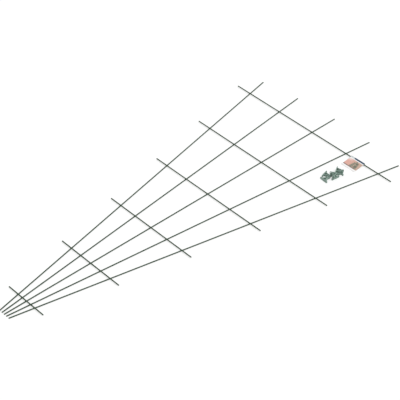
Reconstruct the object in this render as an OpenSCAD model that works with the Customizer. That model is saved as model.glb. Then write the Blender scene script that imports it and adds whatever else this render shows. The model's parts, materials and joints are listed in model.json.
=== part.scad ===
// Fan-shaped espalier frame of coated steel wire, lying flat as it is sold:
// five uprights that spread from the foot, six cross bars welded on top of them,
// a folded card tag that hangs on the highest bar, and six loose wall brackets.
// Millimetres. X runs across the fan, Y from the foot to the wide end, Z up from the floor.
// The origin is under the middle of the centre upright.

/* [Wire] */
// Outside diameter of the coated wire
wire_d = 5; // [4:0.5:7]
// Rounding of the coating at a cut end
end_round = 1; // [0.4:0.1:1.8]
// Depth that a cross bar sinks into an upright at its weld
weld_set = 0.8; // [0.4:0.1:1.2]
// Diameter of the weld bead at a crossing
bead_d = 6.2; // [5.4:0.1:7]

/* [Fan] */
// Length of each upright
upright_l = 1800; // [1500:10:2100]
// Length of the uprights below the lowest cross bar
foot_l = 102; // [60:1:140]
// Length of the centre upright above the highest cross bar
top_l = 148; // [110:1:200]
// Spacing of the uprights at the lowest cross bar
low_gap = 24.3; // [16:0.1:40]
// Reach of the inner uprights from the middle at the highest cross bar
inner_reach = 195; // [150:1:215]
// Reach of the outer uprights from the middle at the highest cross bar
outer_reach = 374; // [340:1:440]
// Overhang of the lowest cross bar past the outer uprights
low_overhang = 52.7; // [30:0.1:80]
// Overhang of the highest cross bar past the outer uprights
high_overhang = 73.3; // [40:0.1:110]

/* [Card tag] */
// Width of the tag along the bar
tag_w = 73; // [40:1:85]
// Length of the tag from the bar to its free edge
tag_l = 62; // [50:1:85]
// Thickness of the card
card_t = 0.4; // [0.3:0.05:0.8]
// Clearance of the folded loop round the wire
loop_gap = 0.3; // [0.3:0.05:1]
// Distance from the wire to where the two leaves meet
loop_neck = 13; // [9:0.5:20]

/* [Wall brackets] */
// Length of the base
bracket_l = 40; // [37:1:52]
// Width of the bracket along the wire
bracket_w = 11; // [9.5:0.5:16]
// Thickness of the base
base_t = 3.6; // [3:0.1:5]
// Rounding of the base's ends
base_round = 3.5; // [1:0.5:4.5]
// Distance of the held wire from the wall
standoff = 29; // [25:0.5:36]
// Distance of each leg's foot from the middle
leg_foot = 9; // [8:0.1:9.5]
// Thickness of a leg
leg_t = 3.4; // [2.4:0.1:4]
// Thickness of the tie between the legs
tie_t = 2.6; // [1.8:0.1:4]
// Distance of the tie from the wall
tie_z = 11.5; // [9:0.5:14]
// Rounding of the corners between leg and base
corner_r = 2; // [1:0.1:2.4]
// Wall of the jaw round the wire
jaw_wall = 2.7; // [2.2:0.1:3.2]
// Clearance of the jaw round the wire
jaw_gap = 0.1; // [0.05:0.05:0.3]
// Height of the jaw's lips above the middle of the wire
lip_h = 3.6; // [3.2:0.1:4.2]
// Spread of the lips at the jaw's mouth
lip_flare = 1; // [0.5:0.1:1.4]
// Diameter of the screw holes
screw_hole_d = 4.5; // [3.5:0.1:4.8]
// Diameter of the countersinks for the screw heads
sink_d = 7.6; // [6:0.1:8]
// Distance of a screw hole from the end of the base
hole_edge = 4.6; // [4.4:0.1:5]

/* [Pile of brackets] */
// Distance of the pile's middle from the highest cross bar
pile_drop = 150; // [145:1:165]

/* [Hidden] */
$fn = 48;

// How far every cut runs past the face that it opens
overrun = 1;

// Uprights are counted from the middle, cross bars from the foot
uprights = [-2, -1, 0, 1, 2];
upright_names = ["outer_left", "inner_left", "centre", "inner_right", "outer_right"];
bars = [0, 1, 2, 3, 4, 5];
top_bar = len(bars) - 1;
brackets = [0, 1, 2, 3, 4, 5];

wire_r = wire_d / 2;
upright_z = wire_r;
bar_z = wire_r + wire_d - weld_set;
weld_z = (upright_z + bar_z) / 2;

// The middle of the centre upright is the origin, and the cross bars are evenly spaced along it
foot_y = -upright_l / 2;
bar_pitch = (upright_l - foot_l - top_l) / top_bar;
reaches = [0, inner_reach, outer_reach];
overhang_growth = 2;

function bar_y(k) = foot_y + foot_l + k * bar_pitch;
function spread(i) = (sign(i) * reaches[abs(i)] - i * low_gap) / (top_bar * bar_pitch);
function upright_x(i, y) = i * low_gap + spread(i) * (y - bar_y(0));
function overhang(k) = low_overhang + (high_overhang - low_overhang) * pow(k / top_bar, overhang_growth);
function bar_half(k) = upright_x(2, bar_y(k)) + overhang(k);

// The tag hangs in the last gap of the highest bar, and its free edge lies on the floor
tag_place_share = 0.384;
tag_x = inner_reach + tag_place_share * (outer_reach - inner_reach);
loop_r = wire_r + loop_gap;
tag_tilt = asin((bar_z - card_t) / tag_l);
neck_turn = acos(loop_r / loop_neck);

// Parts of a bracket, in its own frame: the wall is z = 0 and the legs rise from it to the jaw
jaw_r = wire_r + jaw_gap;
head_r = jaw_r + jaw_wall;
bracket_h = standoff + lip_h;
mouth_share = 0.8;
mouth_w = mouth_share * wire_d;
leg_lean = atan(leg_foot / standoff);
hole_x = bracket_l / 2 - hole_edge;
sink_h = (sink_d - screw_hole_d) / 2;

// How each bracket lies on its side in the pile: its turn about the vertical, its place across and along
// as shares of the pile's unit, and the number of brackets under it
pile_turns = [-5, -76, 82, 162, -148, -60];
pile_across_shares = [-0.2, -0.5, -0.025, 0, 0.175, 0.05];
pile_along_shares = [-0.85, -0.35, 0, 0.675, -0.15, 0.9];
pile_layers = [0, 0, 0, 0, 1, 1];
// The unit follows the larger growth of a bracket's length and of its height
pile_aspect_share = 1.23;
pile_unit = max(bracket_l, pile_aspect_share * bracket_h);

function pile_place(n) = [
    tag_x + pile_across_shares[n] * pile_unit,
    bar_y(top_bar) - pile_drop + pile_along_shares[n] * pile_unit,
    (pile_layers[n] + 1 / 2) * bracket_w
];

wire_colour = [0.16, 0.21, 0.17];
weld_colour = [0.13, 0.17, 0.14];
card_colour = [0.93, 0.91, 0.88];
bracket_colour = [0.33, 0.47, 0.39];

// Half outline of a wire of the given length, with its coating rounded over at both ends
module wire_half(length) {
    translate([0, end_round])
        square([wire_r, length - 2 * end_round]);
    square([wire_r - end_round, length]);
    for (y = [end_round, length - end_round])
        translate([wire_r - end_round, y])
            circle(end_round);
}

module wire(length) {
    rotate_extrude()
        wire_half(length);
}

module upright_wire(i) {
    translate([upright_x(i, foot_y), foot_y, upright_z])
        rotate([-90, 0, -atan(spread(i))])
            wire(upright_l);
}

module bar_wire(k) {
    translate([-bar_half(k), bar_y(k), bar_z])
        rotate([0, 90, 0])
            wire(2 * bar_half(k));
}

module upright(i) {
    color(wire_colour)
        upright_wire(i);
}

// A cross bar, pressed into saddles over the uprights where it is welded
module cross_bar(k) {
    color(wire_colour)
        difference() {
            bar_wire(k);
            for (i = uprights)
                upright_wire(i);
        }
}

// The five beads that squeeze out round the crossings of one cross bar
module weld_beads(k) {
    color(weld_colour)
        for (i = uprights)
            difference() {
                translate([upright_x(i, bar_y(k)), bar_y(k), weld_z])
                    sphere(d = bead_d);
                upright_wire(i);
                bar_wire(k);
            }
}

// Straight part of the fold, tangent to a circle of the given radius and ending where the leaves meet
module fold_wedge(radius, wall) {
    away = [-cos(neck_turn), sin(neck_turn)];
    below = [away[0], -away[1]];
    meet = [-loop_neck, 0];
    polygon([radius * away, meet + wall * away, meet + wall * below, radius * below]);
}

// Section of the folded card: a loop round the wire and two leaves glued face to face
module tag_section() {
    difference() {
        union() {
            circle(loop_r + card_t);
            fold_wedge(loop_r + card_t, card_t);
            translate([-tag_l, -card_t])
                square([tag_l - loop_r, 2 * card_t]);
        }
        circle(loop_r);
        fold_wedge(loop_r, 0);
    }
}

module tag_card() {
    color(card_colour)
        translate([tag_x, bar_y(top_bar), bar_z])
            rotate([tag_tilt, 0, 0])
                rotate([90, 0, 90])
                    linear_extrude(tag_w, center = true)
                        tag_section();
}

// Fills the corner between two lines that leave it at the given angles, up to an arc tangent to both
module corner_fill(corner, from, to, radius) {
    half = (to - from) / 2;
    middle = [cos((from + to) / 2), sin((from + to) / 2)];
    reach = radius / tan(half);
    centre = corner + radius / sin(half) * middle;
    root = corner - radius * middle;
    difference() {
        polygon([
            root, corner + reach * [cos(from), sin(from)],
            centre, corner + reach * [cos(to), sin(to)]
        ]);
        translate(centre)
            circle(radius);
    }
}

// One leg from the base to the jaw's head, with its corners at the base rounded
module leg() {
    translate([0, standoff])
        rotate(leg_lean)
            translate([-leg_t / 2, (base_t / 2 - standoff) / cos(leg_lean)])
                square([leg_t, (standoff - base_t / 2) / cos(leg_lean)]);
    foot_x = leg_foot * (standoff - base_t) / standoff;
    foot_half = leg_t / (2 * cos(leg_lean));
    corner_fill([foot_x + foot_half, base_t], 0, 90 + leg_lean, corner_r);
    corner_fill([foot_x - foot_half, base_t], 90 + leg_lean, 180, corner_r);
}

// The bracket seen along the wire: a base, two legs with a tie between them, and the jaw's round head
module bracket_outline() {
    translate([-bracket_l / 2, 0])
        square([bracket_l, base_t]);
    for (side = [0, 1])
        mirror([side, 0])
            leg();
    tie_half = leg_foot * (standoff - tie_z) / standoff;
    translate([-tie_half, tie_z])
        square([2 * tie_half, tie_t]);
    intersection() {
        translate([0, standoff])
            circle(head_r);
        translate([-head_r, 0])
            square([2 * head_r, bracket_h]);
    }
}

// The round seat of the wire and its narrower mouth between flared lips
module jaw_opening() {
    lip_half = mouth_w / 2 + lip_flare;
    translate([0, standoff])
        circle(jaw_r);
    translate([-mouth_w / 2, standoff])
        square([mouth_w, lip_h + overrun]);
    polygon([
        [-mouth_w / 2, bracket_h - lip_flare], [mouth_w / 2, bracket_h - lip_flare],
        [lip_half + overrun, bracket_h + overrun], [-lip_half - overrun, bracket_h + overrun]
    ]);
}

module screw_hole() {
    translate([0, 0, -overrun])
        cylinder(d = screw_hole_d, h = base_t + 2 * overrun);
    translate([0, 0, base_t - sink_h])
        cylinder(d1 = screw_hole_d, d2 = sink_d, h = sink_h);
    translate([0, 0, base_t])
        cylinder(d = sink_d, h = overrun);
}

// The base's outline against the wall, with rounded corners
module base_outline() {
    along = bracket_l / 2 - base_round;
    across = bracket_w / 2 - base_round;
    square([bracket_l, 2 * across], center = true);
    square([2 * along, bracket_w], center = true);
    for (x = [-along, along], y = [-across, across])
        translate([x, y])
            circle(base_round);
}

// Wall bracket: screwed to the wall through both ends of its base, it holds the wire in a snap jaw
module bracket() {
    difference() {
        intersection() {
            rotate([90, 0, 0])
                linear_extrude(bracket_w, center = true)
                    difference() {
                        bracket_outline();
                        jaw_opening();
                    }
            translate([0, 0, -overrun])
                linear_extrude(bracket_h + 2 * overrun)
                    base_outline();
        }
        for (x = [-hole_x, hole_x])
            translate([x, 0, 0])
                screw_hole();
    }
}

// A bracket of the pile: its legs lie along Y before it is turned
module wall_bracket(n) {
    color(bracket_colour)
        translate(pile_place(n))
            rotate([-90, 0, pile_turns[n]])
                translate([0, 0, -bracket_h / 2])
                    bracket();
}

for (i = uprights)
    upright(i);
for (k = bars)
    cross_bar(k);
for (k = bars)
    weld_beads(k);
tag_card();
for (n = brackets)
    wall_bracket(n);
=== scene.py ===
"""Looks of a fan-shaped espalier frame: coated wire, welds, a printed card tag and moulded wall brackets."""

import json
import math
import typing

import bmesh
import bpy
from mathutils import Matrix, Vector


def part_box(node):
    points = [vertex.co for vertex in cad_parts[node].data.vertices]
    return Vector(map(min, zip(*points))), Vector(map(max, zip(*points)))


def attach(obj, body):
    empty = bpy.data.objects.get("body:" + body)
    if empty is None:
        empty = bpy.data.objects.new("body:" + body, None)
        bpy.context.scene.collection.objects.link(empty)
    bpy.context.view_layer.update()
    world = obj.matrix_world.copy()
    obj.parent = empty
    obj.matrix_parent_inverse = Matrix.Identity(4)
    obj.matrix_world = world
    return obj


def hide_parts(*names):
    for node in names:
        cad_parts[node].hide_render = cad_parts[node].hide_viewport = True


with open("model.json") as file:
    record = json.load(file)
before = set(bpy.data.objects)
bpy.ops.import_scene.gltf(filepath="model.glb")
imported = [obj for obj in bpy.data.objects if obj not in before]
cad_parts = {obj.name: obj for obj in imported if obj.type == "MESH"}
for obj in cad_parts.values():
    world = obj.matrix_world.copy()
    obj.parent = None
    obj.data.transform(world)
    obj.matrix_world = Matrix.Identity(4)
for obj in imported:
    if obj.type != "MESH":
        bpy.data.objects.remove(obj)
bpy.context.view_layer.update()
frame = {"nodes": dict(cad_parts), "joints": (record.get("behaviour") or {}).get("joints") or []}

bl_info = {
    "name": "Espalier frame",
    "version": (1, 0, 0),
    "blender": (4, 5, 0),
    "location": "View3D > Sidebar > Espalier",
    "description": "Finishes a wire espalier frame, its card tag and its wall brackets",
    "category": "Object",
}

MILLIMETRE = 0.001
RIGHT_ANGLE_DEGREES = 90
WHITE = (1.0, 1.0, 1.0)

# Nodes of the frame
BAR_COUNT = 6
BRACKET_COUNT = 6
UPRIGHTS = (
    "upright_outer_left",
    "upright_inner_left",
    "upright_centre",
    "upright_inner_right",
    "upright_outer_right",
)
BARS = tuple(f"cross_bar_{number}" for number in range(1, BAR_COUNT + 1))
WELDS = tuple(f"welds_bar_{number}" for number in range(1, BAR_COUNT + 1))
BRACKETS = tuple(f"wall_bracket_{number}" for number in range(1, BRACKET_COUNT + 1))

# Maps, marks and material slots of the pieces
CARD_MAP = "CardFace"
EDGE_MARK = "RubbedEdge"
PRINTED_SLOT = 0
BARE_SLOT = 1

# Sockets of a mix node that belong to its colours
MIX_FACTOR = 0
MIX_FIRST = 6
MIX_SECOND = 7
MIX_RESULT = 2

# Fineness of the patterns in counts per metre
COAT_DRIFT = 90.0
COAT_GRAIN_ALONG = 26.0
COAT_GRAIN_ROUND = 700.0
WELD_DRIFT = 260.0
CARD_DRIFT = 1100.0
FIBRES_ACROSS = 3200.0
FIBRES_ALONG = 900.0
BAND_WEAR = 500.0
INK_GRAIN = 420.0
PLASTIC_FLOW = 110.0
PLASTIC_SCUFFS = 600.0
PLASTIC_GRAIN = 1500.0

# Heights of the skin grain at which a surface is at its smoothest and at its roughest
GRAIN_LOW = 0.4
GRAIN_HIGH = 1.0

# Steps of the shapes
BEAD_SUBDIVISIONS = 4
CARD_COLUMNS = 24
LEAF_STEPS = 10
LOOP_STEPS = 36
CORNER_STEP_DEGREES = 15
RIM_SEGMENTS = 3

# Edges of the moulded brackets
SAME_POINT = 0.001 * MILLIMETRE
FLAT_ANGLE = math.radians(1.0)
SHARP_ANGLE = math.radians(35.0)
SHADING_ANGLE = math.radians(40.0)
TALL_SHARE = 0.9
ROUND_PROFILE = 0.5

# Layout of the tag's print and of its painted shade in millimetres, across from its middle and along from the
# wire
PRINT_SOFTNESS = 0.25
LINE_SOFTNESS = 0.2
BAND_BACK = -14.0
BAND_FRONT = 2.2
BAND_LEFT = -15.5
BAND_RIGHT = 36.0
BAND_END_SOFTNESS = 1.2
PANEL_MARGIN = 0.6
PANEL_START = 5.8
PANEL_END = 51.0
PANEL_FADE = 16.0
RULE_START = 46.0
# Grey line near the free edge: painted shade of that edge
EDGE_SHADE_INSET = 2.4
EDGE_SHADE_START = 59.8
EDGE_SHADE_END = 61.0
SPRIG_MIDDLE = 9.0
SPRIG_TOP = 14.0
STEM_HALF_WIDTH = 0.6
STEM_END_SOFTNESS = 0.3
LEAF_HALF_LENGTH = 10.0
LEAF_STEP = 8.5

# Leaves of the printed sprig: shares are of a leaf's half length, places of the step between pairs
LEAF_PAIRS = 4
LEAF_TURN_DEGREES = 32.0
LEAF_SLIM_SHARE = 0.6
LEAF_AWAY_SHARE = 0.85
FIRST_PAIR_SHARE = 0.8
PAIR_GROWTH = 0.1
FIRST_PAIR_PLACE = 0.55
DARK_LEAF_CYCLE = 4
DARK_LEAF_NUMBER = 2

# Studio camera
SENSOR_WIDTH = 36.0
CLIP_START = 0.05
CLIP_END = 100.0


def joint_place(name):
    """Where a joint of the frame sits, in metres."""
    for joint in frame["joints"]:
        if joint["name"] == name:
            return Vector(joint["pos_m"])
    raise RuntimeError(f"the frame has no joint named {name}")


def parted_runs(values, gap):
    """Sorted values in runs, parted wherever two neighbours lie further apart than a gap."""
    runs = [[values[0]]]
    for value in values[1:]:
        if value - runs[-1][-1] > gap:
            runs.append([])
        runs[-1].append(value)
    return runs


def weld_places():
    """Middle of every weld: where an upright and a cross bar meet."""
    low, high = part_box("upright_centre")
    upright_height = (low.z + high.z) / 2
    places = []
    for bar, welds in zip(BARS, WELDS):
        low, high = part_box(bar)
        middle = (low + high) / 2
        height = (middle.z + upright_height) / 2
        wire_radius = (high.z - low.z) / 2
        across = sorted(vertex.co.x for vertex in frame["nodes"][welds].data.vertices)
        # A gap wider than the wire's radius parts one weld of the bar from the next
        for run in parted_runs(across, wire_radius):
            places.append(Vector(((run[0] + run[-1]) / 2, middle.y, height)))
    if len(places) != len(UPRIGHTS) * len(BARS):
        raise RuntimeError(f"found {len(places)} welds in the frame")
    return places


def colour_property(name, description, default):
    """A colour that a user may change."""
    return bpy.props.FloatVectorProperty(
        name=name,
        description=description,
        subtype="COLOR",
        size=3,
        min=0.0,
        max=1.0,
        default=default,
    )


def length_property(name, description, millimetres):
    """A length that a user may change, written in millimetres and kept in metres."""
    return bpy.props.FloatProperty(
        name=name,
        description=description,
        unit="LENGTH",
        min=0.0,
        default=millimetres * MILLIMETRE,
    )


def strength_property(name, description, default):
    """A strength of light that a user may change."""
    return bpy.props.FloatProperty(name=name, description=description, min=0.0, default=default)


def turn_property(name, description, degrees):
    """A turn about X, Y and Z that a user may change, written in degrees."""
    return bpy.props.FloatVectorProperty(
        name=name,
        description=description,
        subtype="EULER",
        size=3,
        default=tuple(math.radians(angle) for angle in degrees),
    )


class ESPALIER_PG_wire(bpy.types.PropertyGroup):
    """Coating of the wires and of their welds."""

    coat_colour: colour_property("Coat colour", "Colour of the coated wire", (0.016, 0.045, 0.017))
    coat_pale_colour: colour_property(
        "Pale coat colour", "Colour of the coating where it is thin or dusty", (0.029, 0.064, 0.030)
    )
    scuff_colour: colour_property("Scuff colour", "Colour of small rub marks", (0.10, 0.14, 0.10))
    bead_radius: length_property("Weld radius", "Radius of the pooled coating round a weld", 3.4)
    bead_flatness: bpy.props.FloatProperty(
        name="Weld flatness",
        description="Height of the pooled coating as a share of its width",
        subtype="FACTOR",
        min=0.0,
        max=1.0,
        default=0.74,
    )
    bead_ripple: length_property("Weld ripple", "Unevenness of the pooled coating", 0.35)
    bead_seed: bpy.props.IntProperty(name="Weld seed", description="Choice of the weld's lumps", default=7)


class ESPALIER_PG_tag(bpy.types.PropertyGroup):
    """Card, print and shape of the folded tag."""

    card_colour: colour_property("Card colour", "Colour of the bare card", (0.96, 0.96, 0.955))
    band_colour: colour_property("Band colour", "Colour of the bar over the fold", (0.030, 0.067, 0.122))
    # Pale grey on the ends of the fold: painted shade of the loop
    fold_shade_colour: colour_property("Fold shade colour", "Shade painted on the ends of the loop", (0.50, 0.56, 0.57))
    panel_colour: colour_property("Panel colour", "Warm side of the panel", (0.79, 0.43, 0.36))
    panel_far_colour: colour_property("Panel far colour", "Dull side of the panel", (0.58, 0.41, 0.32))
    leaf_colour: colour_property("Leaf colour", "Colour of the printed leaves", (0.205, 0.235, 0.175))
    # The same colour paints the shade line near the free edge
    rule_and_edge_shade_colour: colour_property("Rule and edge shade colour", "Colour of the printed rule and of the painted shade line at the free edge", (0.26, 0.17, 0.155))
    thickness: length_property("Card thickness", "Thickness of one leaf of the card", 0.4)
    loop_gap: length_property("Loop gap", "Clearance of the folded loop over and under the wire", 0.3)
    loop_back: length_property("Loop back", "How far the middle of the fold lies behind the wire", 3.5)
    loop_neck: length_property("Loop neck", "Distance from the wire to where the two leaves meet", 13.0)
    leaf_gap: length_property("Leaf gap", "Half the hairline between the two leaves", 0.02)
    corner_radius: length_property("Corner radius", "Rounding of the two free corners", 2.0)
    curl: length_property("Curl", "How far the free corners curl up", 0.7)


class ESPALIER_PG_bracket(bpy.types.PropertyGroup):
    """Moulded plastic of the wall brackets."""

    plastic_colour: colour_property("Plastic colour", "Colour of the moulded brackets", (0.158, 0.247, 0.203))
    plastic_pale_colour: colour_property(
        "Pale plastic colour", "Colour of the plastic where it flowed thin", (0.236, 0.345, 0.289)
    )
    worn_colour: colour_property(
        "Worn colour", "Colour of rubbed edges and of the mould's parting line", (0.40, 0.52, 0.46)
    )
    rim_radius: length_property("Rim radius", "Rounding of the moulded rims", 0.4)
    lip_radius: length_property("Lip radius", "Rounding of the edges along the jaw's lips", 0.2)
    shrinkage: length_property(
        "Shrinkage", "How much thinner a cooled bracket is than its mould, which parts stacked brackets", 0.04
    )


class ESPALIER_PG_stage(bpy.types.PropertyGroup):
    """Floor, light and camera of the studio."""

    floor_reach: length_property("Floor reach", "Distance from the middle of the floor to its edges", 15000.0)
    floor_drop: length_property("Floor drop", "Hairline between the floor and what lies on it", 0.02)
    floor_colour: colour_property("Floor colour", "Floor that lights the object", (0.86, 0.86, 0.86))
    floor_shade_colour: colour_property(
        "Floor shade colour", "Floor that keeps the shadow in view", (0.5, 0.5, 0.5)
    )
    floor_glow: strength_property("Floor glow", "Glow that lifts the floor in view to white", 0.56)
    sky_strength: strength_property("Sky strength", "Strength of the even light from all round", 0.72)
    lamp_strength: strength_property("Lamp strength", "Strength of the soft lamp overhead", 1.0)
    lamp_spread: bpy.props.FloatProperty(
        name="Lamp spread",
        description="Angle that the soft lamp fills",
        subtype="ANGLE",
        default=math.radians(40.0),
    )
    lamp_turn: turn_property("Lamp turn", "Turn of the soft lamp", (0.0, 32.0, 0.0))
    camera_place: bpy.props.FloatVectorProperty(
        name="Camera place",
        description="Place of the camera",
        subtype="TRANSLATION",
        size=3,
        default=(3.12368, -3.03778, 3.73309),
    )
    camera_turn: turn_property("Camera turn", "Turn of the camera", (49.7683, -1.7432, 46.4135))
    lens: bpy.props.FloatProperty(
        name="Lens",
        description="Focal length of the camera in millimetres",
        unit="CAMERA",
        default=128.8814,
    )


def opaque(colour, share=1.0):
    """A share of a colour, with full alpha."""
    return (*(share * channel for channel in colour), 1.0)


def even(count):
    """The same count in X, Y and Z."""
    return (count, count, count)


def link(tree, source, output, target, name):
    """Joins an output of one node to an input of another, by their names."""
    tree.links.new(source.outputs[output], target.inputs[name])


def feed(tree, target, value):
    """Links a socket to an input, or sets the input to a plain value."""
    if isinstance(value, bpy.types.NodeSocket):
        tree.links.new(value, target)
    else:
        target.default_value = value


def math_node(tree, operation, *values, kind="ShaderNodeMath"):
    """A math node whose inputs are plain values or sockets; returns its output socket."""
    node = tree.nodes.new(kind)
    node.operation = operation
    for target, value in zip(node.inputs, values):
        feed(tree, target, value)
    return node.outputs[0]


def product(tree, first, second):
    """Product of two values, which are numbers or sockets; returns its output socket."""
    return math_node(tree, "MULTIPLY", first, second)


def mix_colour(tree, factor, first, second):
    """A colour mix whose inputs are values or sockets; returns its output socket."""
    node = tree.nodes.new("ShaderNodeMix")
    node.data_type = "RGBA"
    for index, value in ((MIX_FACTOR, factor), (MIX_FIRST, first), (MIX_SECOND, second)):
        feed(tree, node.inputs[index], value)
    return node.outputs[MIX_RESULT]


def noise(tree, vector, scale, detail):
    """A noise texture; returns its value socket."""
    node = tree.nodes.new("ShaderNodeTexNoise")
    node.inputs["Scale"].default_value = scale
    node.inputs["Detail"].default_value = detail
    tree.links.new(vector, node.inputs["Vector"])
    return node.outputs[0]


def map_range(tree, value, low, high, to_low=0.0, to_high=1.0):
    """Stretches a value between two limits; returns its output socket."""
    node = tree.nodes.new("ShaderNodeMapRange")
    for target, given in zip(node.inputs, (value, low, high, to_low, to_high)):
        feed(tree, target, given)
    return node.outputs[0]


def fill_mottle(tree, given, made):
    """Slow drift between two colours, with finer specks in it."""
    speck_share = 0.35
    drift = noise(tree, given["Place"], scale=0.35, detail=3.0)
    specks = noise(tree, given["Place"], scale=4.0, detail=2.0)
    both = math_node(tree, "ADD", drift, product(tree, specks, speck_share))
    share = map_range(tree, both, low=0.48, high=0.86)
    tree.links.new(mix_colour(tree, share, given["Colour"], given["Pale colour"]), made["Colour"])


def fill_scuffs(tree, given, made):
    """Mask of small rub marks: few, short and broken up."""
    patches = map_range(tree, noise(tree, given["Place"], scale=0.22, detail=2.0), low=0.50, high=0.64)
    specks = map_range(tree, noise(tree, given["Place"], scale=2.6, detail=4.0), low=0.52, high=0.66)
    tree.links.new(product(tree, patches, specks), made["Mask"])


def fill_grain(tree, given, made):
    """Height of a fine skin: a slow swell with a finer grain on it."""
    fine_share = 0.4
    swell = noise(tree, given["Place"], scale=0.9, detail=2.0)
    fine = noise(tree, given["Place"], scale=5.0, detail=3.0)
    tree.links.new(math_node(tree, "ADD", swell, product(tree, fine, fine_share)), made["Height"])


def fill_leaf(tree, given, made):
    """Mask of one pointed leaf, from its middle, its turn and its half length and half width."""
    turn = tree.nodes.new("ShaderNodeVectorRotate")
    turn.rotation_type = "Z_AXIS"
    for name, value in (("Vector", given["Place"]), ("Center", given["Middle"]), ("Angle", given["Turn"])):
        tree.links.new(value, turn.inputs[name])
    away = math_node(tree, "SUBTRACT", turn.outputs[0], given["Middle"], kind="ShaderNodeVectorMath")
    shares = math_node(tree, "DIVIDE", away, given["Half size"], kind="ShaderNodeVectorMath")
    parts = tree.nodes.new("ShaderNodeSeparateXYZ")
    tree.links.new(shares, parts.inputs[0])
    belly = math_node(tree, "SUBTRACT", 1.0, math_node(tree, "POWER", parts.outputs["X"], 2.0))
    inside = math_node(tree, "SUBTRACT", belly, math_node(tree, "ABSOLUTE", parts.outputs["Y"]))
    tree.links.new(map_range(tree, inside, low=0.0, high=0.2), made["Mask"])


# Shader node groups: what fills each, the kinds of its inputs and the kinds of its outputs
GROUPS = {
    "Mottle": (
        fill_mottle,
        {"Place": "Vector", "Colour": "Color", "Pale colour": "Color"},
        {"Colour": "Color"},
    ),
    "Scuffs": (fill_scuffs, {"Place": "Vector"}, {"Mask": "Float"}),
    "Skin grain": (fill_grain, {"Place": "Vector"}, {"Height": "Float"}),
    "Printed leaf": (
        fill_leaf,
        {"Place": "Vector", "Middle": "Vector", "Turn": "Float", "Half size": "Vector"},
        {"Mask": "Float"},
    ),
}


def shared_group(name):
    """A shader node group by its name, made when it is first asked for."""
    if name not in bpy.data.node_groups:
        fill, inputs, outputs = GROUPS[name]
        tree = bpy.data.node_groups.new(name, "ShaderNodeTree")
        for way, sockets in (("INPUT", inputs), ("OUTPUT", outputs)):
            for socket, kind in sockets.items():
                tree.interface.new_socket(socket, in_out=way, socket_type="NodeSocket" + kind)
        start = tree.nodes.new("NodeGroupInput")
        end = tree.nodes.new("NodeGroupOutput")
        fill(tree, start.outputs, end.inputs)
    return bpy.data.node_groups[name]


def new_material(name):
    """A material with an empty Principled surface; returns the material, its tree and the surface."""
    material = bpy.data.materials.new(name)
    material.use_nodes = True
    tree = material.node_tree
    tree.nodes.clear()
    surface = tree.nodes.new("ShaderNodeBsdfPrincipled")
    output = tree.nodes.new("ShaderNodeOutputMaterial")
    link(tree, surface, "BSDF", output, "Surface")
    return material, tree, surface


def placed(tree, counts):
    """Object coordinates stretched to counts per metre in X, Y and Z; returns the vector socket."""
    place = tree.nodes.new("ShaderNodeTexCoord")
    mapping = tree.nodes.new("ShaderNodeMapping")
    mapping.inputs["Scale"].default_value = counts
    link(tree, place, "Object", mapping, "Vector")
    return mapping.outputs["Vector"]


def use_group(tree, name, place):
    """Puts a shared node group in a tree, with its place; returns the node."""
    node = tree.nodes.new("ShaderNodeGroup")
    node.node_tree = shared_group(name)
    tree.links.new(place, node.inputs["Place"])
    return node


def mottled(tree, place, colour, pale_colour):
    """Drift between two opaque colours; returns its colour socket."""
    mottle = use_group(tree, "Mottle", place)
    mottle.inputs["Colour"].default_value = colour
    mottle.inputs["Pale colour"].default_value = pale_colour
    return mottle.outputs["Colour"]


def grainy(tree, surface, place, smoothest, roughest):
    """Lets a surface's roughness follow the skin grain; returns the height of the grain."""
    height = use_group(tree, "Skin grain", place).outputs["Height"]
    roughness = map_range(tree, height, GRAIN_LOW, GRAIN_HIGH, smoothest, roughest)
    tree.links.new(roughness, surface.inputs["Roughness"])
    return height


def add_bump(tree, surface, height, strength, distance):
    """Bumps a surface by a height socket."""
    bump = tree.nodes.new("ShaderNodeBump")
    bump.inputs["Strength"].default_value = strength
    bump.inputs["Distance"].default_value = distance
    tree.links.new(height, bump.inputs["Height"])
    link(tree, bump, "Normal", surface, "Normal")


def coat_material(name, settings, grain_counts):
    """Dark coated wire: colour drift, rub marks, and a skin drawn out along the wire."""
    material, tree, surface = new_material(name)
    scuff_strength = 0.55
    drawn = placed(tree, grain_counts)
    colour = mottled(
        tree,
        placed(tree, even(COAT_DRIFT)),
        opaque(settings.coat_colour),
        opaque(settings.coat_pale_colour),
    )
    scuffs = use_group(tree, "Scuffs", drawn)
    rubbed = product(tree, scuffs.outputs["Mask"], scuff_strength)
    colour = mix_colour(tree, rubbed, colour, opaque(settings.scuff_colour))
    tree.links.new(colour, surface.inputs["Base Color"])
    height = grainy(tree, surface, drawn, smoothest=0.34, roughest=0.52)
    add_bump(tree, surface, height, strength=0.7, distance=0.12 * MILLIMETRE)
    surface.inputs["Specular IOR Level"].default_value = 0.42
    return material


def weld_material(settings):
    """Pooled coating over a weld: darker and smoother than the wire, with soft lumps."""
    material, tree, surface = new_material("weld_coating")
    darker_share = 0.82
    place = placed(tree, even(WELD_DRIFT))
    colour = mottled(
        tree,
        place,
        opaque(settings.coat_colour, darker_share),
        opaque(settings.coat_pale_colour),
    )
    tree.links.new(colour, surface.inputs["Base Color"])
    height = grainy(tree, surface, place, smoothest=0.28, roughest=0.5)
    add_bump(tree, surface, height, strength=0.4, distance=0.15 * MILLIMETRE)
    return material


def show_material(node_name, material):
    """Gives a CAD node's object one finished material."""
    target = frame["nodes"][node_name]
    target.data.materials.clear()
    target.data.materials.append(material)


def finish_piece(piece, body, slot, *replaced):
    """Hands a finished piece to the frame: its body, and the nodes that it stands for. The slot is not used.
    """
    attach(piece, body)
    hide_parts(*replaced)


def mesh_object(name, mesh):
    """Puts a mesh in the scene as an object at the origin."""
    piece = bpy.data.objects.new(name, mesh)
    bpy.context.scene.collection.objects.link(piece)
    return piece


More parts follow.
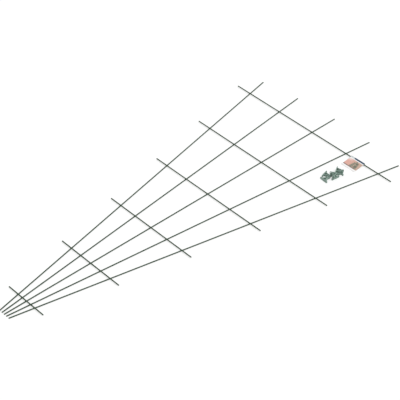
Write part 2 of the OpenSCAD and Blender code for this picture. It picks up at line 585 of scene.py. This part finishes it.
class ESPALIER_OT_wires(bpy.types.Operator):
    """Coat the uprights and the cross bars"""

    bl_idname = "espalier.wires"
    bl_label = "Coat the wires"

    def execute(self, context):
        settings = context.scene.espalier_wire
        # The uprights run more or less along Y, the bars along X
        along_y = (COAT_GRAIN_ROUND, COAT_GRAIN_ALONG, COAT_GRAIN_ROUND)
        along_x = (COAT_GRAIN_ALONG, COAT_GRAIN_ROUND, COAT_GRAIN_ROUND)
        upright_coat = coat_material("upright_coating", settings, along_y)
        bar_coat = coat_material("cross_bar_coating", settings, along_x)
        for name in UPRIGHTS:
            show_material(name, upright_coat)
        for name in BARS:
            show_material(name, bar_coat)
        return {"FINISHED"}


def weld_tree(material):
    """Geometry nodes that set one pooled bead on every point that they are given."""
    tree = bpy.data.node_groups.new("Welds of the fan", "GeometryNodeTree")
    tree.interface.new_socket("Geometry", in_out="INPUT", socket_type="NodeSocketGeometry")
    for name in ("Bead radius", "Bead flatness", "Ripple", "Ripple scale"):
        tree.interface.new_socket(name, in_out="INPUT", socket_type="NodeSocketFloat")
    tree.interface.new_socket("Seed", in_out="INPUT", socket_type="NodeSocketInt")
    tree.interface.new_socket("Geometry", in_out="OUTPUT", socket_type="NodeSocketGeometry")
    start = tree.nodes.new("NodeGroupInput")
    end = tree.nodes.new("NodeGroupOutput")

    ball = tree.nodes.new("GeometryNodeMeshIcoSphere")
    ball.inputs["Subdivisions"].default_value = BEAD_SUBDIVISIONS
    link(tree, start, "Bead radius", ball, "Radius")
    instances = tree.nodes.new("GeometryNodeInstanceOnPoints")
    link(tree, start, "Geometry", instances, "Points")
    link(tree, ball, "Mesh", instances, "Instance")
    flatten = tree.nodes.new("ShaderNodeCombineXYZ")
    flatten.inputs["X"].default_value = 1.0
    flatten.inputs["Y"].default_value = 1.0
    link(tree, start, "Bead flatness", flatten, "Z")
    link(tree, flatten, "Vector", instances, "Scale")
    realize = tree.nodes.new("GeometryNodeRealizeInstances")
    link(tree, instances, "Instances", realize, "Geometry")

    # The noise runs from 0 to 1, so it is centred and doubled to swing by the ripple both ways
    noise_middle = 0.5
    full_swing = 2.0
    lumps = tree.nodes.new("ShaderNodeTexNoise")
    lumps.noise_dimensions = "4D"
    lumps.inputs["Detail"].default_value = 2.0
    link(tree, start, "Ripple scale", lumps, "Scale")
    link(tree, start, "Seed", lumps, "W")
    swing = math_node(tree, "SUBTRACT", lumps.outputs[0], noise_middle)
    swell = product(tree, swing, product(tree, start.outputs["Ripple"], full_swing))
    normal = tree.nodes.new("GeometryNodeInputNormal")
    push = tree.nodes.new("ShaderNodeVectorMath")
    push.operation = "SCALE"
    link(tree, normal, "Normal", push, "Vector")
    tree.links.new(swell, push.inputs["Scale"])
    uneven = tree.nodes.new("GeometryNodeSetPosition")
    link(tree, realize, "Geometry", uneven, "Geometry")
    link(tree, push, "Vector", uneven, "Offset")
    smooth = tree.nodes.new("GeometryNodeSetShadeSmooth")
    link(tree, uneven, "Geometry", smooth, "Geometry")
    paint = tree.nodes.new("GeometryNodeSetMaterial")
    paint.inputs["Material"].default_value = material
    link(tree, smooth, "Geometry", paint, "Geometry")
    link(tree, paint, "Geometry", end, "Geometry")
    return tree


def input_identifiers(tree):
    """Identifiers of a node tree's inputs by their names."""
    return {
        item.name: item.identifier
        for item in tree.interface.items_tree
        if item.item_type == "SOCKET" and item.in_out == "INPUT"
    }


def evaluated_mesh(maker):
    """Plain mesh of an object with its modifiers applied; the object is removed."""
    bpy.context.view_layer.update()
    shaped = maker.evaluated_get(bpy.context.evaluated_depsgraph_get())
    mesh = bpy.data.meshes.new_from_object(shaped)
    maker.modifiers.clear()
    bpy.data.objects.remove(maker)
    if not mesh.polygons:
        raise RuntimeError(f"{mesh.name} came out empty")
    return mesh


class ESPALIER_OT_welds(bpy.types.Operator):
    """Set the pooled coating at every weld"""

    bl_idname = "espalier.welds"
    bl_label = "Set the welds"

    def execute(self, context):
        settings = context.scene.espalier_wire
        points = bpy.data.meshes.new("weld_points")
        points.from_pydata(weld_places(), [], [])
        maker = mesh_object("weld_maker", points)
        tree = weld_tree(weld_material(settings))
        names = input_identifiers(tree)
        modifier = maker.modifiers.new("Welds", "NODES")
        modifier.node_group = tree
        modifier[names["Bead radius"]] = settings.bead_radius
        modifier[names["Bead flatness"]] = settings.bead_flatness
        modifier[names["Ripple"]] = settings.bead_ripple
        modifier[names["Ripple scale"]] = 1.0 / settings.bead_radius
        modifier[names["Seed"]] = settings.bead_seed
        piece = mesh_object("weld_beads", evaluated_mesh(maker))
        finish_piece(piece, "frame", "weld", *WELDS)
        return {"FINISHED"}


class Card(typing.NamedTuple):
    """Measures of the folded card, in metres and radians."""

    hinge: Vector
    width: float
    reach: float
    tilt: float
    wire_radius: float


def measured_card(settings):
    """Measures of the card, from its solid, its joint and the bar that it hangs on."""
    hinge = joint_place("tag_swing")
    low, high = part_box("tag_card")
    bar_low, bar_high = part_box(BARS[-1])
    run = hinge.y - low.y
    tilt = math.atan2(hinge.z - settings.thickness, run)
    reach = (run - settings.thickness * math.sin(tilt)) / math.cos(tilt)
    return Card(hinge, high.x - low.x, reach, tilt, (bar_high.z - bar_low.z) / 2)


def window(tree, value, low, high, soft=PRINT_SOFTNESS):
    """Mask that is one between two limits, with soft edges."""
    rise = map_range(tree, value, low - soft, low + soft)
    fall = map_range(tree, value, high - soft, high + soft, to_low=1.0, to_high=0.0)
    return product(tree, rise, fall)


def print_layout(tree, card, length):
    """Where a point of the card lies, in millimetres: across from the middle, and along from the wire."""
    face = tree.nodes.new("ShaderNodeUVMap")
    face.uv_map = CARD_MAP
    parts = tree.nodes.new("ShaderNodeSeparateXYZ")
    tree.links.new(face.outputs["UV"], parts.inputs[0])
    map_middle = 0.5
    centred = math_node(tree, "SUBTRACT", parts.outputs["X"], map_middle)
    across = product(tree, centred, card.width / MILLIMETRE)
    from_edge = product(tree, parts.outputs["Y"], length / MILLIMETRE)
    along = math_node(tree, "SUBTRACT", card.reach / MILLIMETRE, from_edge)
    return across, along


def sprig_leaves():
    """Leaves of the sprig: their middles from the stem and along, their turns and their half lengths."""
    leaves = [(0.0, SPRIG_TOP, RIGHT_ANGLE_DEGREES, LEAF_HALF_LENGTH)]
    for pair in range(LEAF_PAIRS):
        growth = FIRST_PAIR_SHARE + PAIR_GROWTH * pair
        half = growth * LEAF_HALF_LENGTH
        along = SPRIG_TOP + LEAF_STEP * (pair + FIRST_PAIR_PLACE)
        for side in (-1.0, 1.0):
            leaves.append((side * LEAF_AWAY_SHARE * half, along, side * LEAF_TURN_DEGREES, half))
    return leaves


def sprig_mask(tree, across, along):
    """Mask of a stem with its pairs of leaves and the leaf at its tip, and a mask of the darker leaves."""
    place = tree.nodes.new("ShaderNodeCombineXYZ")
    tree.links.new(across, place.inputs["X"])
    tree.links.new(along, place.inputs["Y"])
    sprig = product(
        tree,
        window(tree, across, SPRIG_MIDDLE - STEM_HALF_WIDTH, SPRIG_MIDDLE + STEM_HALF_WIDTH, LINE_SOFTNESS),
        window(tree, along, SPRIG_TOP, PANEL_END, STEM_END_SOFTNESS),
    )
    dark = 0.0
    for number, (away, height, turn, half) in enumerate(sprig_leaves()):
        leaf = use_group(tree, "Printed leaf", place.outputs["Vector"])
        leaf.inputs["Middle"].default_value = (SPRIG_MIDDLE + away, height, 0.0)
        leaf.inputs["Turn"].default_value = math.radians(turn)
        leaf.inputs["Half size"].default_value = (half, LEAF_SLIM_SHARE * half, 1.0)
        sprig = math_node(tree, "MAXIMUM", sprig, leaf.outputs["Mask"])
        if number % DARK_LEAF_CYCLE == DARK_LEAF_NUMBER:
            dark = math_node(tree, "MAXIMUM", dark, leaf.outputs["Mask"])
    return sprig, dark


def print_band(tree, settings, colour, across, along):
    """Prints the bar over the fold and paints pale grey shade on the loop's ends beside it; returns the
    colour socket.
    """
    fold_shade_strength = 0.75
    # Pale grey over the whole fold, left showing at the ends beside the bar, is painted shade of the loop's
    # ends
    over_fold = window(tree, along, BAND_BACK, BAND_FRONT)
    fold_shade = product(tree, over_fold, fold_shade_strength)
    colour = mix_colour(tree, fold_shade, colour, opaque(settings.fold_shade_colour))
    band = product(tree, over_fold, window(tree, across, BAND_LEFT, BAND_RIGHT, BAND_END_SOFTNESS))
    rubbing = noise(tree, placed(tree, even(BAND_WEAR)), scale=1.0, detail=3.0)
    kept = map_range(tree, rubbing, low=0.52, high=0.72, to_low=1.0, to_high=0.93)
    return mix_colour(tree, product(tree, band, kept), colour, opaque(settings.band_colour))


def panel_ground(tree, settings, across, along, panel_half):
    """Ground of the panel: a drift between two colours that fades to bare card in one corner."""
    fade_start = 0.3
    drift = map_range(tree, across, -panel_half, panel_half)
    ground = mix_colour(tree, drift, opaque(settings.panel_colour), opaque(settings.panel_far_colour))
    corner = product(
        tree,
        map_range(tree, across, -fade_start * panel_half, -panel_half),
        map_range(tree, along, PANEL_START + PANEL_FADE, PANEL_START),
    )
    return mix_colour(tree, corner, ground, opaque(settings.card_colour))


def print_sprig(tree, settings, ground, across, along):
    """Prints the leafy sprig on the panel's ground; returns the colour socket."""
    dark_strength = 0.55
    dark_share = 0.4
    sprig, dark_leaves = sprig_mask(tree, across, along)
    grain = noise(tree, placed(tree, even(INK_GRAIN)), scale=1.0, detail=2.0)
    ink = map_range(tree, grain, low=0.3, high=0.7, to_low=0.72, to_high=0.95)
    ground = mix_colour(tree, product(tree, sprig, ink), ground, opaque(settings.leaf_colour))
    dark_ink = product(tree, dark_leaves, dark_strength)
    return mix_colour(tree, dark_ink, ground, opaque(settings.leaf_colour, dark_share))


def print_panel(tree, settings, colour, across, along, panel_half):
    """Prints the panel with its sprig and the rule at its end; returns the colour socket."""
    rule_out = 1.1
    rule_full = 0.3
    ground = panel_ground(tree, settings, across, along, panel_half)
    ground = print_sprig(tree, settings, ground, across, along)
    rule = product(
        tree,
        window(tree, along, RULE_START, PANEL_END, LINE_SOFTNESS),
        map_range(tree, across, rule_out * panel_half, rule_full * panel_half),
    )
    ground = mix_colour(tree, rule, ground, opaque(settings.rule_and_edge_shade_colour))
    panel = product(
        tree,
        window(tree, across, -panel_half, panel_half),
        window(tree, along, PANEL_START, PANEL_END),
    )
    return mix_colour(tree, panel, colour, ground)


def paint_edge_shade(tree, settings, colour, across, along, panel_half):
    """Paints a thin grey line of shade near the free edge; returns the colour socket."""
    # The grey line is painted shade of the free edge, in the rule's colour
    line_strength = 0.6
    edge_shade_half = panel_half - EDGE_SHADE_INSET
    line = product(
        tree,
        window(tree, across, -edge_shade_half, edge_shade_half),
        window(tree, along, EDGE_SHADE_START, EDGE_SHADE_END, LINE_SOFTNESS),
    )
    return mix_colour(tree, product(tree, line, line_strength), colour, opaque(settings.rule_and_edge_shade_colour))


def card_surface(name, settings):
    """Bare card: a fibrous, matt surface; returns the material, its tree, its surface and its colour."""
    material, tree, surface = new_material(name)
    shade_share = 0.96
    colour = mottled(
        tree,
        placed(tree, even(CARD_DRIFT)),
        opaque(settings.card_colour),
        opaque(settings.card_colour, shade_share),
    )
    fibres = placed(tree, (FIBRES_ACROSS, FIBRES_ALONG, FIBRES_ALONG))
    height = grainy(tree, surface, fibres, smoothest=0.48, roughest=0.66)
    add_bump(tree, surface, height, strength=0.25, distance=0.02 * MILLIMETRE)
    return material, tree, surface, colour


def bare_card_material(settings):
    """Cut edges and inside of the card."""
    material, tree, surface, colour = card_surface("bare_card", settings)
    tree.links.new(colour, surface.inputs["Base Color"])
    return material


def printed_card_material(settings, card, length):
    """Face of the card: a bar over the fold with painted shade on the loop's ends beside it, a panel with a
    leafy sprig above a rule, and a grey line of painted shade near the free edge.
    """
    material, tree, surface, colour = card_surface("printed_card", settings)
    across, along = print_layout(tree, card, length)
    panel_half = card.width / MILLIMETRE / 2 - PANEL_MARGIN
    colour = print_band(tree, settings, colour, across, along)
    colour = print_panel(tree, settings, colour, across, along, panel_half)
    colour = paint_edge_shade(tree, settings, colour, across, along, panel_half)
    tree.links.new(colour, surface.inputs["Base Color"])
    surface.inputs["Specular IOR Level"].default_value = 0.3
    return material


def leaf_rows(reach, neck, corner):
    """Distances from the wire to the rows of one leaf, from its free edge inwards."""
    angles = range(0, RIGHT_ANGLE_DEGREES + 1, CORNER_STEP_DEGREES)
    rows = [reach - corner * (1 - math.cos(math.radians(angle))) for angle in angles]
    start = rows[-1]
    rows += [start + (neck - start) * step / LEAF_STEPS for step in range(1, LEAF_STEPS + 1)]
    return rows


def card_section(settings, card):
    """Inner line of the folded card from the front's free edge round the wire to the back's.

    Each point is its distance along from the wire and its height over the plane between the leaves.
    The two walls of the loop run straight from its neck to the fold, just clear of the wire.
    """
    fold_from_neck = settings.loop_neck + settings.loop_back
    fold_radius = (card.wire_radius + settings.loop_gap) * fold_from_neck / settings.loop_neck
    turn = math.acos(fold_radius / fold_from_neck)
    rows = leaf_rows(card.reach, settings.loop_neck, settings.corner_radius)
    front = [(along, settings.leaf_gap) for along in rows]
    fold = []
    for step in range(LOOP_STEPS + 1):
        angle = turn + (2 * math.pi - 2 * turn) * step / LOOP_STEPS
        fold.append((fold_radius * math.cos(angle) - settings.loop_back, fold_radius * math.sin(angle)))
    back = [(along, -height) for along, height in reversed(front)]
    return front + fold + back


def walked_lengths(section):
    """Length of the section from its first point to each of its points."""
    walked = [0.0]
    for first, second in zip(section, section[1:]):
        walked.append(walked[-1] + (Vector(second) - Vector(first)).length)
    return walked


def outward(section, index):
    """Direction from the inner line of the section to its outer face."""
    before = Vector(section[max(index - 1, 0)])
    after = Vector(section[min(index + 1, len(section) - 1)])
    run = (after - before).normalized()
    return Vector((run.y, -run.x))


def half_width(settings, card, along):
    """Half the card's width at a distance from the wire; it narrows round the free corners."""
    radius = settings.corner_radius
    notch = radius - min(card.reach - along, radius)
    cut = radius - math.sqrt(max(radius ** 2 - notch ** 2, 0.0))
    return card.width / 2 - cut


def card_sheet(shape, settings, card, section, offset):
    """Rows of points of one side of the card, at an offset from the inner line of its section."""
    along_way = Vector((0.0, -math.cos(card.tilt), -math.sin(card.tilt)))
    up_way = Vector((0.0, -math.sin(card.tilt), math.cos(card.tilt)))
    grid = []
    for index, point in enumerate(section):
        along = point[0]
        flat = Vector(point) + offset * outward(section, index)
        half = half_width(settings, card, along)
        slack = max((along - settings.loop_neck) / (card.reach - settings.loop_neck), 0.0)
        row = []
        for column in range(CARD_COLUMNS + 1):
            across = half * (2 * column / CARD_COLUMNS - 1)
            lift = settings.curl * slack ** 2 * (2 * across / card.width) ** 2
            place = card.hinge + flat.x * along_way + (flat.y + lift) * up_way
            place.x += across
            row.append(shape.verts.new(place))
        grid.append(row)
    return grid


def tag_mesh(settings, card):
    """Folded card with its print map; returns the mesh and the length of its section."""
    section = card_section(settings, card)
    walked = walked_lengths(section)
    shape = bmesh.new()
    card_map = shape.loops.layers.uv.new(CARD_MAP)
    outer = card_sheet(shape, settings, card, section, settings.thickness - settings.leaf_gap)
    inner = card_sheet(shape, settings, card, section, 0.0)

    def add_face(*corners, slot=BARE_SLOT):
        """Closes four corners, each a sheet, a row and a column, and maps them."""
        made = shape.faces.new([sheet[row][column] for sheet, row, column in corners])
        made.smooth = slot == PRINTED_SLOT
        made.material_index = slot
        for loop, (_, row, column) in zip(made.loops, corners):
            loop[card_map].uv = (column / CARD_COLUMNS, walked[row] / walked[-1])

    last = len(section) - 1
    for row in range(last):
        for column in range(CARD_COLUMNS):
            add_face(
                (outer, row, column),
                (outer, row, column + 1),
                (outer, row + 1, column + 1),
                (outer, row + 1, column),
                slot=PRINTED_SLOT,
            )
            add_face(
                (inner, row, column),
                (inner, row + 1, column),
                (inner, row + 1, column + 1),
                (inner, row, column + 1),
            )
        for column in (0, CARD_COLUMNS):
            add_face(
                (outer, row, column),
                (outer, row + 1, column),
                (inner, row + 1, column),
                (inner, row, column),
            )
    for row in (0, last):
        for column in range(CARD_COLUMNS):
            add_face(
                (outer, row, column),
                (outer, row, column + 1),
                (inner, row, column + 1),
                (inner, row, column),
            )
    bmesh.ops.recalc_face_normals(shape, faces=shape.faces)
    mesh = bpy.data.meshes.new("tag_card_printed")
    shape.to_mesh(mesh)
    shape.free()
    return mesh, walked[-1]


class ESPALIER_OT_tag(bpy.types.Operator):
    """Fold and print the card tag"""

    bl_idname = "espalier.tag"
    bl_label = "Fold and print the tag"

    def execute(self, context):
        settings = context.scene.espalier_tag
        card = measured_card(settings)
        mesh, length = tag_mesh(settings, card)
        mesh.materials.append(printed_card_material(settings, card, length))
        mesh.materials.append(bare_card_material(settings))
        finish_piece(mesh_object("tag_card_printed", mesh), "tag", "card", "tag_card")
        return {"FINISHED"}


def parting_line(tree, width):
    """Mask of the line that the mould leaves round the middle of each bracket's width."""
    coordinates = tree.nodes.new("ShaderNodeTexCoord")
    parts = tree.nodes.new("ShaderNodeSeparateXYZ")
    link(tree, coordinates, "Object", parts, "Vector")
    level = math_node(tree, "MODULO", parts.outputs["Z"], width)
    from_line = math_node(tree, "ABSOLUTE", math_node(tree, "SUBTRACT", level, width / 2))
    return map_range(
        tree,
        from_line,
        low=0.08 * MILLIMETRE,
        high=0.22 * MILLIMETRE,
        to_low=1.0,
        to_high=0.0,
    )


def plastic_material(settings, width):
    """Moulded plastic: flow marks, a fine skin, rubbed edges and the mould's parting line."""
    material, tree, surface = new_material("moulded_plastic")
    line_strength = 0.5
    wear_strength = 0.6
    grain_share = 0.3
    flow = placed(tree, even(PLASTIC_FLOW))
    colour = mottled(tree, flow, opaque(settings.plastic_colour), opaque(settings.plastic_pale_colour))

    edge = tree.nodes.new("ShaderNodeAttribute")
    edge.attribute_name = EDGE_MARK
    scuffs = use_group(tree, "Scuffs", placed(tree, even(PLASTIC_SCUFFS)))
    patches = map_range(tree, noise(tree, flow, scale=1.6, detail=3.0), low=0.42, high=0.62)
    rubbed = product(tree, edge.outputs["Fac"], patches)
    line = parting_line(tree, width)
    marks = math_node(tree, "MAXIMUM", rubbed, product(tree, line, line_strength))
    marks = math_node(tree, "MAXIMUM", marks, scuffs.outputs["Mask"])
    worn = product(tree, marks, wear_strength)
    tree.links.new(mix_colour(tree, worn, colour, opaque(settings.worn_colour)), surface.inputs["Base Color"])

    grain = grainy(tree, surface, placed(tree, even(PLASTIC_GRAIN)), smoothest=0.30, roughest=0.48)
    height = math_node(tree, "ADD", product(tree, grain, grain_share), line)
    add_bump(tree, surface, height, strength=0.5, distance=0.06 * MILLIMETRE)
    return material


def is_sharp(edge):
    """Whether two faces meet at an edge at a clear angle."""
    return edge.is_manifold and edge.calc_face_angle(0.0) > SHARP_ANGLE


def is_tall(edge, width):
    """Whether an edge runs through most of the bracket's width, which stands upright here."""
    first, second = edge.verts
    return abs(second.co.z - first.co.z) > TALL_SHARE * width


def round_over(shape, edges, radius, mark):
    """Rounds edges and marks the new faces."""
    made = bmesh.ops.bevel(
        shape,
        geom=edges,
        offset=radius,
        offset_type="OFFSET",
        segments=RIM_SEGMENTS,
        profile=ROUND_PROFILE,
        affect="EDGES",
        clamp_overlap=False,
    )
    for face in made["faces"]:
        face[mark] = 1.0


def moulded_mesh(node_name, settings, width):
    """Copy of a bracket's solid with the rims and lips rounded as a mould leaves them."""
    shape = bmesh.new()
    shape.from_mesh(frame["nodes"][node_name].data)
    bmesh.ops.remove_doubles(shape, verts=shape.verts, dist=SAME_POINT)
    bmesh.ops.dissolve_limit(shape, angle_limit=FLAT_ANGLE, verts=shape.verts, edges=shape.edges)
    mark = shape.faces.layers.float.new(EDGE_MARK)
    lips = [edge for edge in shape.edges if is_sharp(edge) and is_tall(edge, width) and edge.is_convex]
    round_over(shape, lips, settings.lip_radius, mark)
    rims = [edge for edge in shape.edges if is_sharp(edge) and not is_tall(edge, width)]
    round_over(shape, rims, settings.rim_radius, mark)
    low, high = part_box(node_name)
    middle = (low.z + high.z) / 2
    for vertex in shape.verts:
        vertex.co.z -= (vertex.co.z - middle) * settings.shrinkage / width
    mesh = bpy.data.meshes.new("moulded_" + node_name)
    shape.to_mesh(mesh)
    shape.free()
    mesh.materials.clear()
    mesh.shade_smooth()
    mesh.set_sharp_from_angle(angle=SHADING_ANGLE)
    return mesh


class ESPALIER_OT_brackets(bpy.types.Operator):
    """Mould the wall brackets"""

    bl_idname = "espalier.brackets"
    bl_label = "Mould the brackets"

    def execute(self, context):
        settings = context.scene.espalier_bracket
        low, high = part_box(BRACKETS[0])
        width = high.z - low.z
        material = plastic_material(settings, width)
        for number, name in enumerate(BRACKETS, 1):
            maker = mesh_object("bracket_maker", moulded_mesh(name, settings, width))
            even_shading = maker.modifiers.new("Even shading", "WEIGHTED_NORMAL")
            even_shading.keep_sharp = True
            mesh = evaluated_mesh(maker)
            mesh.materials.append(material)
            finish_piece(mesh_object("moulded_" + name, mesh), f"bracket_{number}", "bracket_plastic", name)
        return {"FINISHED"}


def show_by_ray(tree, lighting, shown, output):
    """Joins a tree's output to one shader for the light and another for what the camera sees."""
    rays = tree.nodes.new("ShaderNodeLightPath")
    seen = math_node(tree, "MAXIMUM", rays.outputs["Is Camera Ray"], rays.outputs["Is Glossy Ray"])
    seen = math_node(tree, "MAXIMUM", seen, rays.outputs["Is Transmission Ray"])
    mix = tree.nodes.new("ShaderNodeMixShader")
    tree.links.new(seen, mix.inputs[0])
    tree.links.new(lighting.outputs[0], mix.inputs[1])
    tree.links.new(shown.outputs[0], mix.inputs[2])
    link(tree, mix, "Shader", output, "Surface")


def floor_material(settings):
    """White studio floor that keeps a faint shadow."""
    material = bpy.data.materials.new("studio_floor")
    material.use_nodes = True
    tree = material.node_tree
    tree.nodes.clear()
    output = tree.nodes.new("ShaderNodeOutputMaterial")
    plain = tree.nodes.new("ShaderNodeBsdfDiffuse")
    plain.inputs["Color"].default_value = opaque(settings.floor_colour)
    shaded = tree.nodes.new("ShaderNodeBsdfDiffuse")
    shaded.inputs["Color"].default_value = opaque(settings.floor_shade_colour)
    glow = tree.nodes.new("ShaderNodeEmission")
    glow.inputs["Strength"].default_value = settings.floor_glow
    white = tree.nodes.new("ShaderNodeAddShader")
    tree.links.new(shaded.outputs[0], white.inputs[0])
    tree.links.new(glow.outputs[0], white.inputs[1])
    show_by_ray(tree, plain, white, output)
    return material


def add_floor(settings):
    """Lays the floor just under the object."""
    mesh = bpy.data.meshes.new("studio_floor")
    shape = bmesh.new()
    bmesh.ops.create_grid(shape, x_segments=1, y_segments=1, size=settings.floor_reach)
    shape.to_mesh(mesh)
    shape.free()
    floor = mesh_object("studio_floor", mesh)
    floor.location.z = -settings.floor_drop
    mesh.materials.append(floor_material(settings))


def add_sky(scene, settings):
    """Even light from all round, in front of a white backdrop."""
    world = bpy.data.worlds.new("studio_light")
    world.use_nodes = True
    tree = world.node_tree
    tree.nodes.clear()
    output = tree.nodes.new("ShaderNodeOutputWorld")
    sky = tree.nodes.new("ShaderNodeBackground")
    sky.inputs["Color"].default_value = opaque(WHITE)
    sky.inputs["Strength"].default_value = settings.sky_strength
    backdrop = tree.nodes.new("ShaderNodeBackground")
    backdrop.inputs["Color"].default_value = opaque(WHITE)
    show_by_ray(tree, sky, backdrop, output)
    scene.world = world


def add_lamp(scene, settings):
    """A broad, soft lamp overhead, to the right of the fan."""
    lamp = bpy.data.lights.new("soft_lamp", "SUN")
    lamp.energy = settings.lamp_strength
    lamp.angle = settings.lamp_spread
    lamp_object = bpy.data.objects.new("soft_lamp", lamp)
    lamp_object.rotation_euler = settings.lamp_turn
    scene.collection.objects.link(lamp_object)


def add_camera(scene, settings):
    """The camera at the photograph's place."""
    camera = bpy.data.cameras.new("photo_camera")
    camera.lens = settings.lens
    camera.sensor_width = SENSOR_WIDTH
    camera.sensor_fit = "HORIZONTAL"
    camera.clip_start = CLIP_START
    camera.clip_end = CLIP_END
    camera_object = bpy.data.objects.new("photo_camera", camera)
    camera_object.location = settings.camera_place
    camera_object.rotation_euler = settings.camera_turn
    scene.collection.objects.link(camera_object)
    scene.camera = camera_object


class ESPALIER_OT_stage(bpy.types.Operator):
    """Set up the floor, the light and the camera"""

    bl_idname = "espalier.stage"
    bl_label = "Set up the studio"

    def execute(self, context):
        scene = context.scene
        settings = scene.espalier_stage
        scene.view_settings.view_transform = "Standard"
        add_floor(settings)
        add_sky(scene, settings)
        add_lamp(scene, settings)
        add_camera(scene, settings)
        return {"FINISHED"}


class ESPALIER_PT_sidebar(bpy.types.Panel):
    """Sidebar panel with every step of the finish"""

    bl_idname = "ESPALIER_PT_sidebar"
    bl_label = "Espalier frame"
    bl_space_type = "VIEW_3D"
    bl_region_type = "UI"
    bl_category = "Espalier"

    def draw(self, context):
        scene = context.scene
        for title, settings, operators in (
            ("Wire", scene.espalier_wire, (ESPALIER_OT_wires, ESPALIER_OT_welds)),
            ("Tag", scene.espalier_tag, (ESPALIER_OT_tag,)),
            ("Brackets", scene.espalier_bracket, (ESPALIER_OT_brackets,)),
            ("Studio", scene.espalier_stage, (ESPALIER_OT_stage,)),
        ):
            box = self.layout.box()
            box.label(text=title)
            for name in settings.bl_rna.properties.keys():
                if name not in {"rna_type", "name"}:
                    box.prop(settings, name)
            for operator in operators:
                box.operator(operator.bl_idname)


CLASSES = (
    ESPALIER_PG_wire,
    ESPALIER_PG_tag,
    ESPALIER_PG_bracket,
    ESPALIER_PG_stage,
    ESPALIER_OT_wires,
    ESPALIER_OT_welds,
    ESPALIER_OT_tag,
    ESPALIER_OT_brackets,
    ESPALIER_OT_stage,
    ESPALIER_PT_sidebar,
)


def register():
    """Adds the classes and their settings to Blender."""
    for item in CLASSES:
        bpy.utils.register_class(item)
    scene = bpy.types.Scene
    scene.espalier_wire = bpy.props.PointerProperty(type=ESPALIER_PG_wire)
    scene.espalier_tag = bpy.props.PointerProperty(type=ESPALIER_PG_tag)
    scene.espalier_bracket = bpy.props.PointerProperty(type=ESPALIER_PG_bracket)
    scene.espalier_stage = bpy.props.PointerProperty(type=ESPALIER_PG_stage)


def unregister():
    """Takes the settings and the classes out of Blender."""
    scene = bpy.types.Scene
    del scene.espalier_stage
    del scene.espalier_bracket
    del scene.espalier_tag
    del scene.espalier_wire
    for item in reversed(CLASSES):
        bpy.utils.unregister_class(item)


def main():
    """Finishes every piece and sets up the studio."""
    register()
    bpy.ops.espalier.wires()
    bpy.ops.espalier.welds()
    bpy.ops.espalier.tag()
    bpy.ops.espalier.brackets()
    bpy.ops.espalier.stage()


if __name__ == "__main__":
    main()
